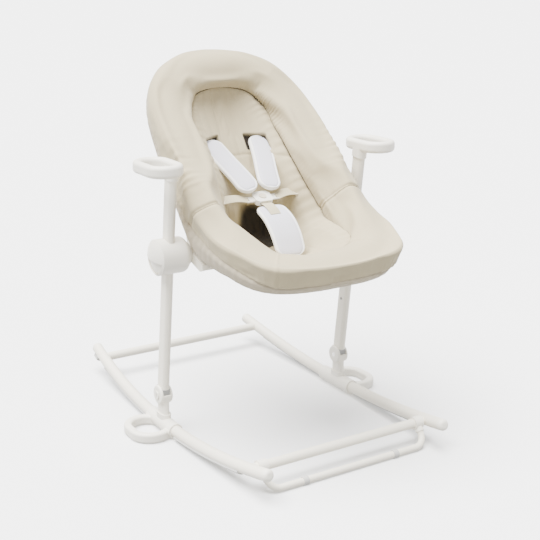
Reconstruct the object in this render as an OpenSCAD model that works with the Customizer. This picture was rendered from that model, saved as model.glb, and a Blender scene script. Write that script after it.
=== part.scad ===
/* [Base] */
// Distance of each rocker from the middle, at its lowest point
rocker_x = 230; // [200:1:260]
// Height of a rocker's centre line at its lowest point
rocker_z = 16.5; // [16:0.5:20]
// Outer diameter of a rocker tube
rocker_d = 25; // [22:1:26]
// Radius that a rocker is bent to
rocker_bend = 1776; // [1500:1:2200]
// Inward lean of the rocker planes, in degrees
rocker_lean = 23.4; // [15:0.1:30]
// Half of the angle that a rocker spans, in degrees
rocker_span = 12.75; // [12:0.05:13]
// Outer diameter of the cross tubes
cross_d = 20; // [16:1:22]
// Outer diameter of the kickstand bar
kick_d = 14; // [10:1:16]

/* [Posts] */
// Thickness of a post, across the seat
post_w = 17; // [15:1:18]
// Depth of a post, front to back
post_depth = 34; // [30:1:36]
// Height of the fold pivots
pivot_z = 83; // [80:1:90]
// Forward lean of the posts, in degrees
post_lean = 7.5; // [5:0.5:10]
// Distance along the post from its pivot to its top end
post_top = 500; // [480:1:520]
// Distance along the post from its pivot to the hub
hub_s = 320; // [300:1:330]
// Distance between two heights of the seat
height_step = 45; // [40:1:50]

/* [Seat] */
// Outer diameter of the seat's frame tubes
frame_d = 16; // [14:1:16]
// Slope of the backrest, in degrees
back_slope = 47; // [46:1:48]
// Outer diameter of the hub drums
hub_d = 75; // [70:1:78]
// Diameter of the axles that the seat hangs from
axle_d = 12; // [10:1:14]

/* [Hidden] */
$fn = 64;
fit = 0.05;
wall = 1.5;
rocker_r = rocker_d / 2;
post_base = [rocker_x, 0, pivot_z];
knuckle_r = 21;
knuckle_w = 28;
slot_w = post_w + 0.8;
pin_r = 5;
button_r = 9;
hub_r = hub_d / 2;
hub_in = -38;
hub_seam = 20;
axle_r = axle_d / 2;
hub_y = -hub_s * sin(post_lean);
hub_z = pivot_z + hub_s * cos(post_lean);
lock_r = 4;
lock_tip = 12.5;
lock_len = 12;
stop_s = [144, 417];
grip_top = -3;
grip_r = hub_r - 4;
bracket_x = rocker_x + hub_in - 5.4;
kick_y = -340;
kick_reach = [-31, -38.5];
kick_x = 190;
kick_corner = 26;
kick_len = norm(kick_reach);
rear_y = 350.5;
strip_t = 3;
frame_r = frame_d / 2;
back_origin = [0, 31, 537];
seat_z = 384;
back_leg_x = 147;
seat_leg_x = 150;
rim_sides = 20;
rim_steps = 3;
// Centre line of the padded rim on the +X side, from head to foot,
// then half the width and half the height of its section there
rim_half = [
    [0, 172, 745, 45, 44],
    [62, 168, 740, 46, 44],
    [112, 150, 718, 47, 44],
    [140, 114, 676, 48, 44],
    [149, 58, 622, 50, 45],
    [152, 0, 567, 51, 49],
    [154, -50, 515, 51, 58],
    [155, -100, 468, 50, 64],
    [154, -155, 440, 50, 56],
    [146, -215, 422, 49, 48],
    [118, -268, 414, 48, 41],
    [62, -290, 411, 47, 38],
    [0, -293, 410, 47, 37]
];
rim_last = len(rim_half) - 1;
rim_seam = 6.35;
seam_gap = 0.04;
rim_under = 25;
back_profile = [[168, 690], [140, 655], [108, 600], [62, 545], [22, 490], [6, 440]];
seat_profile = [[12, 392], [-20, 384], [-60, 380], [-150, 382], [-262, 386]];
pad_half = 116;
lever_at = [5, -18];
adjuster_at = [92, -15, 494];
buckle_at = [0, -32, 491];
buckle_tilt = 25;
pad_top = [54, 99, 603];
pad_low = [34, -20, 517];

cream = "ivory";
cloth = "tan";

// ---- Shared places and shapes. Left is the side at -X ----

module on_side(s) {
    if (s > 0) children();
    else mirror([1, 0, 0]) children();
}

// Frame of a rocker's own plane on the +X side, with its lowest point at the origin
module rocker_plane() {
    translate([rocker_x, 0, rocker_z]) rotate([0, -rocker_lean, 0]) children();
}

// Place at angle a along a rocker, with +Y along the tube
module along_rocker(a) {
    rocker_plane() translate([0, 0, rocker_bend]) rotate([a, 0, 0])
        translate([0, 0, -rocker_bend]) children();
}

// A section swept along a rocker from angle a0 to angle a1
module rocker_arc(a0, a1) {
    rocker_plane() translate([0, 0, rocker_bend]) rotate([90, 0, 90]) rotate([0, 0, a0 - 90])
        rotate_extrude(angle = a1 - a0, $fn = 1440) translate([rocker_bend, 0]) children();
}

// Frame of a post on the +X side, with Z along the post and the pivot at the origin
module post_frame() {
    translate(post_base) rotate([post_lean, 0, 0]) children();
}

module hub_frame() {
    post_frame() translate([0, 0, hub_s]) children();
}

module back_plane() {
    translate(back_origin) rotate([back_slope, 0, 0]) children();
}

// A shape turned about X, drawn with its axis up
module about_x() {
    rotate([0, 90, 0]) children();
}

module x_rod(r, x0, x1) {
    translate([x0, 0, 0]) about_x() cylinder(r = r, h = x1 - x0);
}

module oval_2d(w, d) {
    square([w, d - w], center = true);
    for (y = [-1, 1]) translate([0, y * (d - w) / 2]) circle(d = w);
}

module oval_bar(w, d, z0, z1) {
    translate([0, 0, z0]) linear_extrude(z1 - z0) oval_2d(w, d);
}

// A rounded rectangle, with corners of radius r
module round_rect(w, d, r) {
    square([w - 2 * r, d], center = true);
    square([w, d - 2 * r], center = true);
    for (x = [-1, 1], y = [-1, 1]) translate([x * (w / 2 - r), y * (d / 2 - r)]) circle(r = r);
}

// A closed loop of a rounded bar: two half-round ends joined by straight sides
module oval_loop(half_x, half_y, w, h, r) {
    side = half_y - half_x;
    for (k = [-1, 1]) {
        translate([0, k * side, 0]) rotate([0, 0, k > 0 ? 0 : 180])
            rotate_extrude(angle = 180, $fn = 128) translate([half_x, 0]) round_rect(w, h, r);
        translate([k * half_x, side, 0]) rotate([90, 0, 0])
            linear_extrude(2 * side) round_rect(w, h, r);
    }
}

// A flat bar with round ends between two points of the YZ plane
module link_bar(p, q, w, x0, x1) {
    d = q - p;
    translate([x0, p[0], p[1]]) rotate([atan2(d[1], d[0]), 0, 0]) rotate([90, 0, 90])
        linear_extrude(x1 - x0) {
            circle(d = w);
            translate([norm(d), 0]) circle(d = w);
            translate([0, -w / 2]) square([norm(d), w]);
        }
}

// A band of even thickness below a line of points in the YZ plane
function below(pts, i, t) =
    let (a = pts[max(i - 1, 0)], b = pts[min(i + 1, len(pts) - 1)], d = (b - a) / norm(b - a))
    pts[i] + t * [-d[1], d[0]];
module band(pts, gap, t, half) {
    n = len(pts);
    top = [for (i = [0 : n - 1]) below(pts, i, gap)];
    low = [for (i = [n - 1 : -1 : 0]) below(pts, i, gap + t)];
    translate([-half, 0, 0]) rotate([90, 0, 90]) linear_extrude(2 * half) polygon(concat(top, low));
}

// ---- Base ----

module rocker(s) {
    color(cream) on_side(s) rocker_arc(-rocker_span, rocker_span) difference() {
        circle(r = rocker_r);
        circle(r = rocker_r - wall);
    }
}

module rocker_end_caps() {
    plug = 14;
    collar = 5;
    edge_r = 8;
    color(cream) for (s = [-1, 1], e = [-1, 1]) on_side(s) along_rocker(e * rocker_span)
        rotate([-90 * e, 0, 0]) {
            rotate_extrude() {
                translate([0, -plug]) square([rocker_r - wall - 0.6, plug]);
                square([rocker_r, collar]);
                square([rocker_r - edge_r, collar + edge_r]);
                intersection() {
                    translate([rocker_r - edge_r, collar]) circle(r = edge_r);
                    translate([0, collar]) square([rocker_r, edge_r]);
                }
            }
        }
}

// A rocker's height at a distance y from its lowest point, and its place across there
function rocker_rise(y) = rocker_bend * (1 - cos(asin(y / rocker_bend)));
function rocker_at(y) = [
    rocker_x - rocker_rise(y) * sin(rocker_lean), y, rocker_z + rocker_rise(y) * cos(rocker_lean)
];

module cross_tube(y) {
    at = rocker_at(y);
    color(cream) difference() {
        translate([0, y, at[2]]) difference() {
            x_rod(cross_d / 2, -at[0], at[0]);
            x_rod(cross_d / 2 - wall, -at[0] - 1, at[0] + 1);
        }
        for (s = [-1, 1]) on_side(s) rocker_arc(-rocker_span, rocker_span) circle(r = rocker_r);
    }
}

module ring_foot(s) {
    bar_w = 17;
    bar_h = 22;
    loop_x = 38;
    loop_y = 50;
    sleeve_r = 16.5;
    sleeve = 112;
    color(cream) on_side(s) difference() {
        union() {
            translate([rocker_x + loop_x, 0, bar_h / 2])
                oval_loop(loop_x, loop_y, bar_w, bar_h, 6);
            intersection() {
                translate([rocker_x, -sleeve / 2, rocker_z]) rotate([-90, 0, 0])
                    cylinder(r = sleeve_r, h = sleeve);
                translate([rocker_x - 30, -sleeve / 2, 0]) cube([60, sleeve, 60]);
            }
            translate([rocker_x, 0, rocker_z]) oval_bar(post_w + 6, post_depth + 8, 0, 24);
        }
        rocker_arc(-rocker_span, rocker_span) circle(r = rocker_r);
        translate([rocker_x, 0, rocker_z]) oval_bar(post_w, post_depth, 0, 40);
    }
}

module fork(s) {
    foot_r = 16.6;
    web_top = 2;
    color(cream) on_side(s) difference() {
        union() {
            translate([rocker_x, 0, pivot_z]) about_x() translate([0, 0, -knuckle_w / 2])
                rotate_extrude() {
                    square([knuckle_r - 4, knuckle_w]);
                    translate([0, 4]) square([knuckle_r, knuckle_w - 8]);
                    for (z = [4, knuckle_w - 4]) translate([knuckle_r - 4, z]) circle(r = 4);
                }
            translate([rocker_x, 0, 0]) oval_bar(post_w, post_depth, 31, pivot_z - 12);
        }
        translate(post_base) {
            x_rod(foot_r, -slot_w / 2, slot_w / 2);
            translate([-slot_w / 2, -40, web_top]) cube([slot_w, 80, 40]);
            translate([-slot_w / 2, 0, -foot_r - 1]) cube([slot_w, 40, 40]);
            x_rod(pin_r, -40, 40);
            x_rod(button_r + 0.3, knuckle_w / 2 - 3.4, 40);
        }
    }
}

module pivot_pin(s) {
    color("silver") on_side(s) translate(post_base) difference() {
        x_rod(pin_r, -knuckle_w / 2, knuckle_w / 2 - 3.4);
        x_rod(3.1, -knuckle_w / 2 + 2, knuckle_w / 2);
    }
}

// Soft strips under each rocker, in front of and behind the ring foot
module grip_strips() {
    half_w = 9;
    near = 2.2;
    far = 10.2;
    color("gray") for (s = [-1, 1], arc = [[near, far], [-far, -near]])
        on_side(s) rocker_arc(arc[0], arc[1]) intersection() {
            difference() {
                circle(r = rocker_r + strip_t);
                circle(r = rocker_r);
            }
            translate([0, -half_w]) square([30, 2 * half_w]);
        }
}

// Blocks under the rear ends that stop the seat rocking too far
module rear_stops() {
    color("dimgray") for (s = [-1, 1]) on_side(s) rocker_arc(11.85, 12.55) intersection() {
        difference() {
            circle(r = rocker_r + 6);
            circle(r = rocker_r);
        }
        translate([0, -7]) square([30, 14]);
    }
}

module fold_button(s) {
    proud = 2.5;
    color("white") on_side(s) translate(post_base) difference() {
        union() {
            x_rod(button_r, knuckle_w / 2 - 0.8, knuckle_w / 2 + proud);
            x_rod(3, knuckle_w / 2 - 12, knuckle_w / 2);
        }
        translate([knuckle_w / 2 + 1, -1.75, -5]) cube([5, 3.5, 10]);
    }
}

// ---- Kickstand ----

module at_kick() {
    translate([0, kick_y, rocker_at(kick_y)[2]]) children();
}

// Frame of the folding bar: +Y runs from the hinge to the bar's cross part
module kick_plane() {
    at_kick() rotate([180 + atan2(-kick_reach[1], -kick_reach[0]), 0, 0]) children();
}

module kickstand_bar() {
    top = cross_d / 2 + 2;
    color(cream) kick_plane() {
        for (s = [-1, 1]) on_side(s) {
            translate([kick_x, top, 0]) rotate([-90, 0, 0])
                cylinder(d = kick_d, h = kick_len - kick_corner - top);
            translate([kick_x - kick_corner, kick_len - kick_corner, 0])
                rotate_extrude(angle = 90) translate([kick_corner, 0]) circle(d = kick_d);
        }
        translate([0, kick_len, 0]) x_rod(kick_d / 2, kick_corner - kick_x, kick_x - kick_corner);
    }
}

module kick_clip(s) {
    color(cream) on_side(s) kick_plane() difference() {
        union() {
            x_rod(cross_d / 2 + 3.5, kick_x - 10, kick_x + 10);
            translate([kick_x, 0, 0]) rotate([-90, 0, 0]) cylinder(r = kick_d / 2 + 2, h = 20);
        }
        x_rod(cross_d / 2 + 0.1, 0, 300);
        translate([kick_x, cross_d / 2 + 2, 0]) rotate([-90, 0, 0]) cylinder(d = kick_d, h = 40);
    }
}

module kickstand_bumpers() {
    color("dimgray") for (s = [-1, 1]) on_side(s) kick_plane() translate([110, kick_len, 0])
        difference() {
            x_rod(kick_d / 2 + 1.5, -6, 6);
            x_rod(kick_d / 2, -7, 7);
        }
}

// ---- Posts ----

module post(s) {
    color(cream) on_side(s) post_frame() difference() {
        oval_bar(post_w, post_depth, 17, post_top);
        oval_bar(post_w - 2 * wall, post_depth - 2 * wall, 0, post_top + 1);
        for (k = [-3 : 1]) translate([0, 0, hub_s + k * height_step]) rotate([-90, 0, 0])
            cylinder(r = lock_r + 1.2, h = 30);
        translate([-lock_r - 0.3, 0, hub_s - 3 * height_step])
            cube([2 * lock_r + 0.6, 30, 4 * height_step]);
        for (z = stop_s) translate([-post_w / 2, 0, z]) x_rod(3 + fit, -2, wall + 1);
    }
}

module post_shoe(s) {
    color("gray") on_side(s) post_frame() difference() {
        union() {
            x_rod(16, -post_w / 2, post_w / 2);
            translate([-post_w / 2, -15, 0]) cube([post_w, 30, 17]);
            oval_bar(post_w - 2 * wall - 0.1, post_depth - 2 * wall - 0.1, 17, 50);
        }
        x_rod(pin_r + fit, -20, 20);
    }
}

module ring_handle(s) {
    ring = [28, 0.4, 10];
    ring_half = [30, 54];
    color(cream) on_side(s) difference() {
        union() {
            post_frame() oval_bar(post_w + 5, post_depth + 5, post_top - 16, post_top + 6);
            translate(post_base) rotate([post_lean, 0, 0]) translate([0, 0, post_top])
                rotate([-post_lean, 0, 0]) translate(ring)
                oval_loop(ring_half[0], ring_half[1], 18, 25, 8);
        }
        post_frame() oval_bar(post_w, post_depth, 0, post_top);
    }
}

// Screws that keep the seat from sliding off either end of its travel
module post_end_stops() {
    color("dimgray") for (s = [-1, 1], z = stop_s) on_side(s) post_frame()
        translate([-post_w / 2, 0, z]) x_rod(3, -1.2, wall);
}

// ---- Height hubs ----

module hub_shell(s) {
    shell = 3;
    sleeve = 2.6;
    end_r = 14;
    color(cream) on_side(s) hub_frame() difference() {
        union() {
            difference() {
                about_x() translate([0, 0, hub_in]) rotate_extrude() {
                    translate([0, end_r]) square([hub_r, hub_seam - hub_in - end_r]);
                    square([hub_r - end_r, end_r]);
                    translate([hub_r - end_r, end_r]) circle(r = end_r);
                }
                x_rod(hub_r - shell, hub_in + end_r, hub_seam + 1);
                x_rod(hub_r - end_r, hub_in + shell, hub_seam);
            }
            x_rod(24, hub_in - 5, hub_in + 1);
            intersection() {
                oval_bar(slot_w + 2 * sleeve, post_depth + 0.8 + 2 * sleeve, -hub_r, hub_r);
                x_rod(hub_r - 1, -20, 20);
            }
            x_rod(axle_r + 5, hub_in, -slot_w / 2 - 1);
        }
        oval_bar(slot_w, post_depth + 0.8, -60, 60);
        x_rod(axle_r, hub_in - 6, -slot_w / 2 - 2.4);
        rotate([-90, 0, 0]) cylinder(r = lock_r + 0.15, h = 26);
    }
}

// Turned profile of the cap's dome, from the seam outwards
module cap_dome(r, rise, skirt) {
    ball = (r * r + rise * rise) / (2 * rise);
    about_x() translate([0, 0, hub_seam]) rotate_extrude($fn = 128) {
        square([r, skirt]);
        intersection() {
            translate([0, skirt - ball + rise]) circle(r = ball);
            translate([0, skirt]) square([r, rise]);
        }
    }
}

module hub_cap(s) {
    color("white") on_side(s) hub_frame() {
        difference() {
            cap_dome(hub_r, 13, 7);
            cap_dome(hub_r - 3, 10, 6);
            intersection() {
                x_rod(grip_r, hub_seam + 2, 60);
                translate([0, -40, -60]) cube([60, 80, 60 + grip_top]);
            }
        }
        difference() {
            x_rod(hub_r - 3, hub_seam + 1, hub_seam + 2.6);
            translate([0, -7, -28]) cube([60, 14, 23]);
        }
    }
}

// Finger grip in the lower half of the cap; it slides up to free the seat
module release_paddle(s) {
    color(cream) on_side(s) hub_frame() {
        intersection() {
            difference() {
                cap_dome(hub_r - 0.6, 10, 4.2);
                cap_dome(hub_r - 3.6, 7, 4.6);
            }
            x_rod(grip_r - 0.4, hub_seam, 60);
            translate([0, -40, -60]) cube([60, 80, 62]);
        }
        translate([12.2, -6, -27]) cube([17, 12, 15]);
    }
}

module lock_pin(s) {
    color("silver") on_side(s) hub_frame() {
        translate([0, lock_tip, 0]) rotate([-90, 0, 0]) cylinder(r = lock_r, h = lock_len);
        translate([0, lock_tip + lock_len, 0]) rotate([-90, 0, 0]) cylinder(r = 6, h = 1.6);
    }
}

// Points of a spring's wire about the Y axis
function coil(r, pitch, turns, steps) = [
    for (i = [0 : turns * steps]) let (a = 360 * i / steps) [r * cos(a), pitch * i / steps, r * sin(a)]
];
module wire(path, r, sides) {
    n = len(path);
    rings = [for (i = [0 : n - 1])
        let (t = path[min(i + 1, n - 1)] - path[max(i - 1, 0)], u = unit(cross(t, [0, 1, 0])),
             v = unit(cross(t, u)))
        for (k = [0 : sides - 1]) path[i] + r * (u * cos(360 * k / sides) + v * sin(360 * k / sides))];
    sweep(rings, n, sides);
}

// A solid through n rings of points, closed at both ends
module sweep(rings, n, sides) {
    walls = [for (i = [0 : n - 2], k = [0 : sides - 1]) [
        i * sides + k, i * sides + (k + 1) % sides,
        (i + 1) * sides + (k + 1) % sides, (i + 1) * sides + k
    ]];
    first = [for (k = [sides - 1 : -1 : 0]) k];
    last = [for (k = [0 : sides - 1]) (n - 1) * sides + k];
    polyhedron(points = rings, faces = concat(walls, [first], [last]), convexity = 8);
}

module lock_spring(s) {
    color("silver") on_side(s) hub_frame() translate([0, lock_tip + lock_len + 2.2, 0])
        wire(coil(4.6, 0.9, 2, 12), 0.4, 6);
}

module seat_axle(s) {
    color("silver") on_side(s) hub_frame() {
        x_rod(axle_r, hub_in - 23.4, -slot_w / 2 - 2.4);
        x_rod(axle_r + 3, hub_in - 25.4, hub_in - 23.4);
    }
}

// ---- Seat ----

module at_hub_axis() {
    translate([0, hub_y, hub_z]) children();
}

module seat_bracket(s) {
    arm = [[hub_y, hub_z], [-96, seat_z]];
    color(cream) on_side(s) difference() {
        union() {
            link_bar(arm[0], arm[1], 20, bracket_x - 7.8, bracket_x - 0.2);
            translate([0, hub_y, hub_z]) x_rod(17, bracket_x - 8, bracket_x);
            translate([seat_leg_x, -108, seat_z - 6]) cube([bracket_x - seat_leg_x, 24, 12]);
            translate([seat_leg_x, -82, seat_z]) rotate([90, 0, 0]) cylinder(r = frame_r + 1.8, h = 30);
        }
        at_hub_axis() x_rod(axle_r + fit, 0, 300);
        translate([seat_leg_x, -85, seat_z]) rotate([90, 0, 0]) cylinder(r = frame_r, h = 40);
    }
}

module tube_2d() {
    difference() {
        circle(r = frame_r);
        circle(r = frame_r - 1.2);
    }
}

// Half of a U of tube in the XY plane: a leg from y0 to y1, a bend and half the end bar
module half_hoop(leg_x, y0, y1, bend_r) {
    dir = sign(y1 - y0);
    translate([leg_x, y0, 0]) rotate([-90 * dir, 0, 0]) linear_extrude(abs(y1 - y0)) tube_2d();
    translate([leg_x - bend_r, y1, 0]) rotate([0, 0, dir > 0 ? 0 : -90])
        rotate_extrude(angle = 90, $fn = 128) translate([bend_r, 0]) tube_2d();
    translate([0, y1 + dir * bend_r, 0]) about_x() linear_extrude(leg_x - bend_r) tube_2d();
}

module seat_frame_tube() {
    color(cream) translate([0, 0, seat_z]) for (s = [-1, 1]) on_side(s)
        half_hoop(seat_leg_x, -85, -213, 80);
}

// Point of the closed rim at station i, counted from the head round the +X side
function rim_point(i) =
    let (n = 2 * rim_last, k = (i % n + n) % n, p = rim_half[k <= rim_last ? k : n - k])
    k <= rim_last ? p : [-p[0], p[1], p[2], p[3], p[4]];
function spline(a, b, c, d, t) =
    b + 0.5 * t * (c - a + t * (2 * a - 5 * b + 4 * c - d + t * (3 * b - a - 3 * c + d)));
function rim_at(u) =
    let (i = floor(u))
    spline(rim_point(i - 1), rim_point(i), rim_point(i + 1), rim_point(i + 2), u - i);
function xyz(p) = [p[0], p[1], p[2]];
function unit(v) = v / norm(v);
// Direction that the rim's padding faces, from the foot's slope to the backrest's
function facing(y) =
    let (w = max(0, min(1, (y + 160) / 120))) (1 - w) * [0, -0.12, 0.99] + w * [0, -0.66, 0.75];
function power(v, e) = sign(v) * pow(abs(v), e);
function rim_ring(u) =
    let (p = rim_at(u), t = unit(xyz(rim_at(u + 0.05)) - xyz(rim_at(u - 0.05))), f = facing(p[1]),
         n = unit(f - t * (f * t)), b = cross(t, n))
    [for (k = [0 : rim_sides - 1]) let (a = 360 * k / rim_sides)
        xyz(p) + b * power(cos(a), 0.85) * p[3] + n * max(power(sin(a), 0.85) * p[4], rim_under - p[4])];

module rim_part(u0, u1) {
    count = ceil((u1 - u0) * rim_steps);
    sweep([for (i = [0 : count]) each rim_ring(u0 + (u1 - u0) * i / count)], count + 1, rim_sides);
}

module seat_bolster() {
    color(cloth) rim_part(rim_seam + seam_gap, 2 * rim_last - rim_seam - seam_gap);
}

module back_bolster() {
    color(cloth) rim_part(seam_gap - rim_seam, rim_seam - seam_gap);
}

module seat_pad() {
    color("burlywood") band(seat_profile, 0, 8, pad_half);
}

module seat_sling() {
    color(cloth) band(seat_profile, 8, 3, pad_half);
}

module back_pad() {
    color("burlywood") band(back_profile, 0, 10, pad_half);
}

module back_sling() {
    color(cloth) band(back_profile, 10, 3, pad_half);
}

module back_bracket(s) {
    x1 = bracket_x - 8.4;
    low = -58;
    socket = [back_origin[1] + low * cos(back_slope), back_origin[2] + low * sin(back_slope)];
    color(cream) on_side(s) difference() {
        union() {
            link_bar([hub_y, hub_z], socket, 16, x1 - 7.8, x1 - 0.2);
            at_hub_axis() x_rod(17, x1 - 8, x1);
            back_plane() translate([back_leg_x - 10, low - 6, -9.4])
                cube([x1 - back_leg_x + 6, 20, 18.8]);
        }
        at_hub_axis() x_rod(axle_r + fit, 0, 300);
        back_plane() translate([back_leg_x, low - 5, 0]) rotate([-90, 0, 0])
            cylinder(r = frame_r, h = 40);
    }
}

module back_frame_tube() {
    color(cream) back_plane() for (s = [-1, 1]) on_side(s) half_hoop(back_leg_x, -63, 148, 100);
}

// ---- Recline handle, behind the head ----

module at_recline() {
    back_plane() translate([0, 248, 0]) children();
}

module recline_housing() {
    color("white") at_recline() difference() {
        translate([-40, -14, -34]) cube([80, 28, 34]);
        x_rod(frame_r, -50, 50);
        translate([-34, -30, -40]) cube([68, 40, 28]);
        translate([0, lever_at[0], lever_at[1]]) x_rod(3 + fit, -38, 38);
    }
}

module recline_lever() {
    color("gray") at_recline() {
        translate([0, lever_at[0], lever_at[1]]) x_rod(3, -37.8, 37.8);
        difference() {
            translate([-33, -28, -27]) cube([66, 34, 12]);
            translate([-26, -22, -28]) cube([52, 16, 20]);
        }
    }
}

// ---- Harness ----

module buckle_place() {
    translate(buckle_at) rotate([buckle_tilt, 0, 0]) children();
}

module buckle_body() {
    color("ivory") buckle_place() difference() {
        translate([0, 0, -6]) linear_extrude(12) round_rect(42, 34, 9);
        translate([0, 0, -2]) cylinder(r = 8.3, h = 20);
        for (s = [-1, 1]) translate([s * 22 - 10, -9, -2]) cube([20, 18, 4]);
        translate([-14, -20, -2]) cube([28, 9, 3]);
    }
}

module buckle_button() {
    color("tan") buckle_place() translate([0, 0, 1]) cylinder(r = 8, h = 6.5);
}

module buckle_tongues() {
    color("ivory") for (s = [-1, 1]) on_side(s) buckle_place() difference() {
        translate([13, -8.6, -1.5]) cube([27, 17.2, 3]);
        translate([33, -6.5, -5]) cube([4, 13, 10]);
    }
}

// Flat webbing between two points, w wide, lying along the direction of its width
module webbing(p, q, w, t, roll) {
    d = q - p;
    translate(p) rotate([0, -asin(d[2] / norm(d)), atan2(d[1], d[0])]) rotate([roll, 0, 0])
        translate([0, -w / 2, -t / 2]) cube([norm(d), w, t]);
}

module waist_straps() {
    color("burlywood") for (s = [-1, 1]) on_side(s) {
        webbing([43.5, -30, 491.5], adjuster_at - [11, 2.5, 0.3], 24, 2, buckle_tilt);
    }
}

module strap_adjusters() {
    color("tan") for (s = [-1, 1]) on_side(s) translate(adjuster_at) rotate([buckle_tilt, 0, 12])
        difference() {
            translate([0, 0, -2]) linear_extrude(4) round_rect(15, 32, 3);
            for (x = [-5.5, 2]) translate([x, -13, -5]) cube([3.5, 26, 10]);
        }
}

module crotch_strap() {
    color("burlywood") webbing([0, -78, 464], [0, -48.5, 482.5], 25, 2, 0);
}

module crotch_pad() {
    low = [-150, 402];
    high = [-72, 458];
    color("white") link_bar(low, high, 10, -24, 24);
}

module shoulder_pads() {
    d = pad_low - pad_top;
    run = norm(d);
    color("white") for (s = [-1, 1]) on_side(s) translate(pad_top)
        rotate([0, -asin(d[2] / run), atan2(d[1], d[0])]) rotate([-12, 0, 0]) {
            translate([run / 2, 0, -5]) linear_extrude(10) round_rect(run, 50, 24);
        }
}

// ---- Assembly: one line for each piece ----

rocker(-1);  // left_rocker
rocker(1);  // right_rocker
rocker_end_caps();
cross_tube(kick_y);  // front_cross_tube
cross_tube(rear_y);  // rear_cross_tube
ring_foot(-1);  // left_ring_foot
ring_foot(1);  // right_ring_foot
fork(-1);  // left_fork
fork(1);  // right_fork
pivot_pin(-1);  // left_pivot_pin
pivot_pin(1);  // right_pivot_pin
grip_strips();
rear_stops();
fold_button(-1);  // left_fold_button
fold_button(1);  // right_fold_button
kickstand_bar();
kick_clip(-1);  // left_kick_clip
kick_clip(1);  // right_kick_clip
kickstand_bumpers();
post(-1);  // left_post
post(1);  // right_post
post_shoe(-1);  // left_post_shoe
post_shoe(1);  // right_post_shoe
ring_handle(-1);  // left_ring_handle
ring_handle(1);  // right_ring_handle
post_end_stops();
hub_shell(-1);  // left_hub_shell
hub_shell(1);  // right_hub_shell
hub_cap(-1);  // left_hub_cap
hub_cap(1);  // right_hub_cap
seat_axle(-1);  // left_seat_axle
seat_axle(1);  // right_seat_axle
release_paddle(-1);  // left_release_paddle
release_paddle(1);  // right_release_paddle
lock_pin(-1);  // left_lock_pin
lock_pin(1);  // right_lock_pin
lock_spring(-1);  // left_lock_spring
lock_spring(1);  // right_lock_spring
seat_bracket(-1);  // left_seat_bracket
seat_bracket(1);  // right_seat_bracket
seat_frame_tube();
seat_bolster();
seat_pad();
seat_sling();
crotch_strap();
crotch_pad();
waist_straps();
strap_adjusters();
buckle_body();
buckle_tongues();
buckle_button();
back_bracket(-1);  // left_back_bracket
back_bracket(1);  // right_back_bracket
back_frame_tube();
back_bolster();
back_pad();
back_sling();
shoulder_pads();
recline_housing();
recline_lever();
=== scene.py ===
import math
import random

import bpy
import numpy as np
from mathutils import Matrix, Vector, noise
from mathutils.bvhtree import BVHTree


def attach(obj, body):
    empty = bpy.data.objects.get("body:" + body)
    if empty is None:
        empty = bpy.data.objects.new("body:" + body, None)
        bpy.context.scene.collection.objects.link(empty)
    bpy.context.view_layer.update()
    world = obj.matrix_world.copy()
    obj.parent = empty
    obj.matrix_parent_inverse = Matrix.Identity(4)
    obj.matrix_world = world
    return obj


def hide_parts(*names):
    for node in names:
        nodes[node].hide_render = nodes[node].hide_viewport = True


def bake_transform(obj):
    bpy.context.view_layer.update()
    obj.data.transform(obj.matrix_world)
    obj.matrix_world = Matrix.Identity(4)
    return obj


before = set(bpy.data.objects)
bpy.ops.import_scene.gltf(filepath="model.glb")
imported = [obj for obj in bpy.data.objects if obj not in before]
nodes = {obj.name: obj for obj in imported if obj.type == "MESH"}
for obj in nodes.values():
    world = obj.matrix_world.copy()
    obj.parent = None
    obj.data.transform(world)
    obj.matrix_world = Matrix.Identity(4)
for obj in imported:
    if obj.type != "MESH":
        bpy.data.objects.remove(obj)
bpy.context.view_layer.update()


# ---- Studio: floor, lights and camera ----
# A pale floor under one large soft box. The room looks brighter than it lights, and the floor
# bounces no light back, so that the cloth keeps its shading. The camera stands in front of the
# seat and to its left, a little above it.

scene = bpy.context.scene


class Wire:
    """An output socket in a material. Arithmetic on it adds Math nodes."""

    def __init__(self, tree, socket=None):
        self.tree = tree
        self.socket = socket

    def node(self, kind, settings=None, sockets=None, out=0):
        made = self.tree.nodes.new(kind)
        for name, value in (settings or {}).items():
            setattr(made, name, value)
        for name, value in (sockets or {}).items():
            if isinstance(value, Wire):
                self.tree.links.new(value.socket, made.inputs[name])
            else:
                made.inputs[name].default_value = value
        return Wire(self.tree, made.outputs[out])

    def maths(self, operation, *values):
        return self.node("ShaderNodeMath", {"operation": operation}, dict(enumerate(values)))

    def __add__(self, other):
        return self.maths("ADD", self, other)

    def __radd__(self, other):
        return self.maths("ADD", other, self)

    def __mul__(self, other):
        return self.maths("MULTIPLY", self, other)

    def __rmul__(self, other):
        return self.maths("MULTIPLY", other, self)


def mixed(share, first, second):
    """A colour between two, by a wire from 0 to 1."""
    return share.node("ShaderNodeMix", {"data_type": "RGBA"}, {0: share, 6: first, 7: second}, 2)


def new_material(name):
    material = bpy.data.materials.new(name)
    material.use_nodes = True
    material.node_tree.nodes.clear()
    return material, Wire(material.node_tree)


def shaded(material, wires, constants):
    """Ends a material in one Principled shader: wires vary over the surface, constants don't."""
    tree = material.node_tree
    shader = Wire(tree).node("ShaderNodeBsdfPrincipled", None, {**constants, **wires})
    output = tree.nodes.new("ShaderNodeOutputMaterial")
    tree.links.new(shader.socket, output.inputs["Surface"])
    return material


def relief(height, strength, distance):
    """A bump from a height wire, for a shader's Normal."""
    return height.node("ShaderNodeBump", None,
                       {"Height": height, "Strength": strength, "Distance": distance})


def noise_of(wire, coords, scale, detail=2.0):
    return wire.node("ShaderNodeTexNoise", None,
                     {"Vector": coords, "Scale": scale, "Detail": detail})


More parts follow.
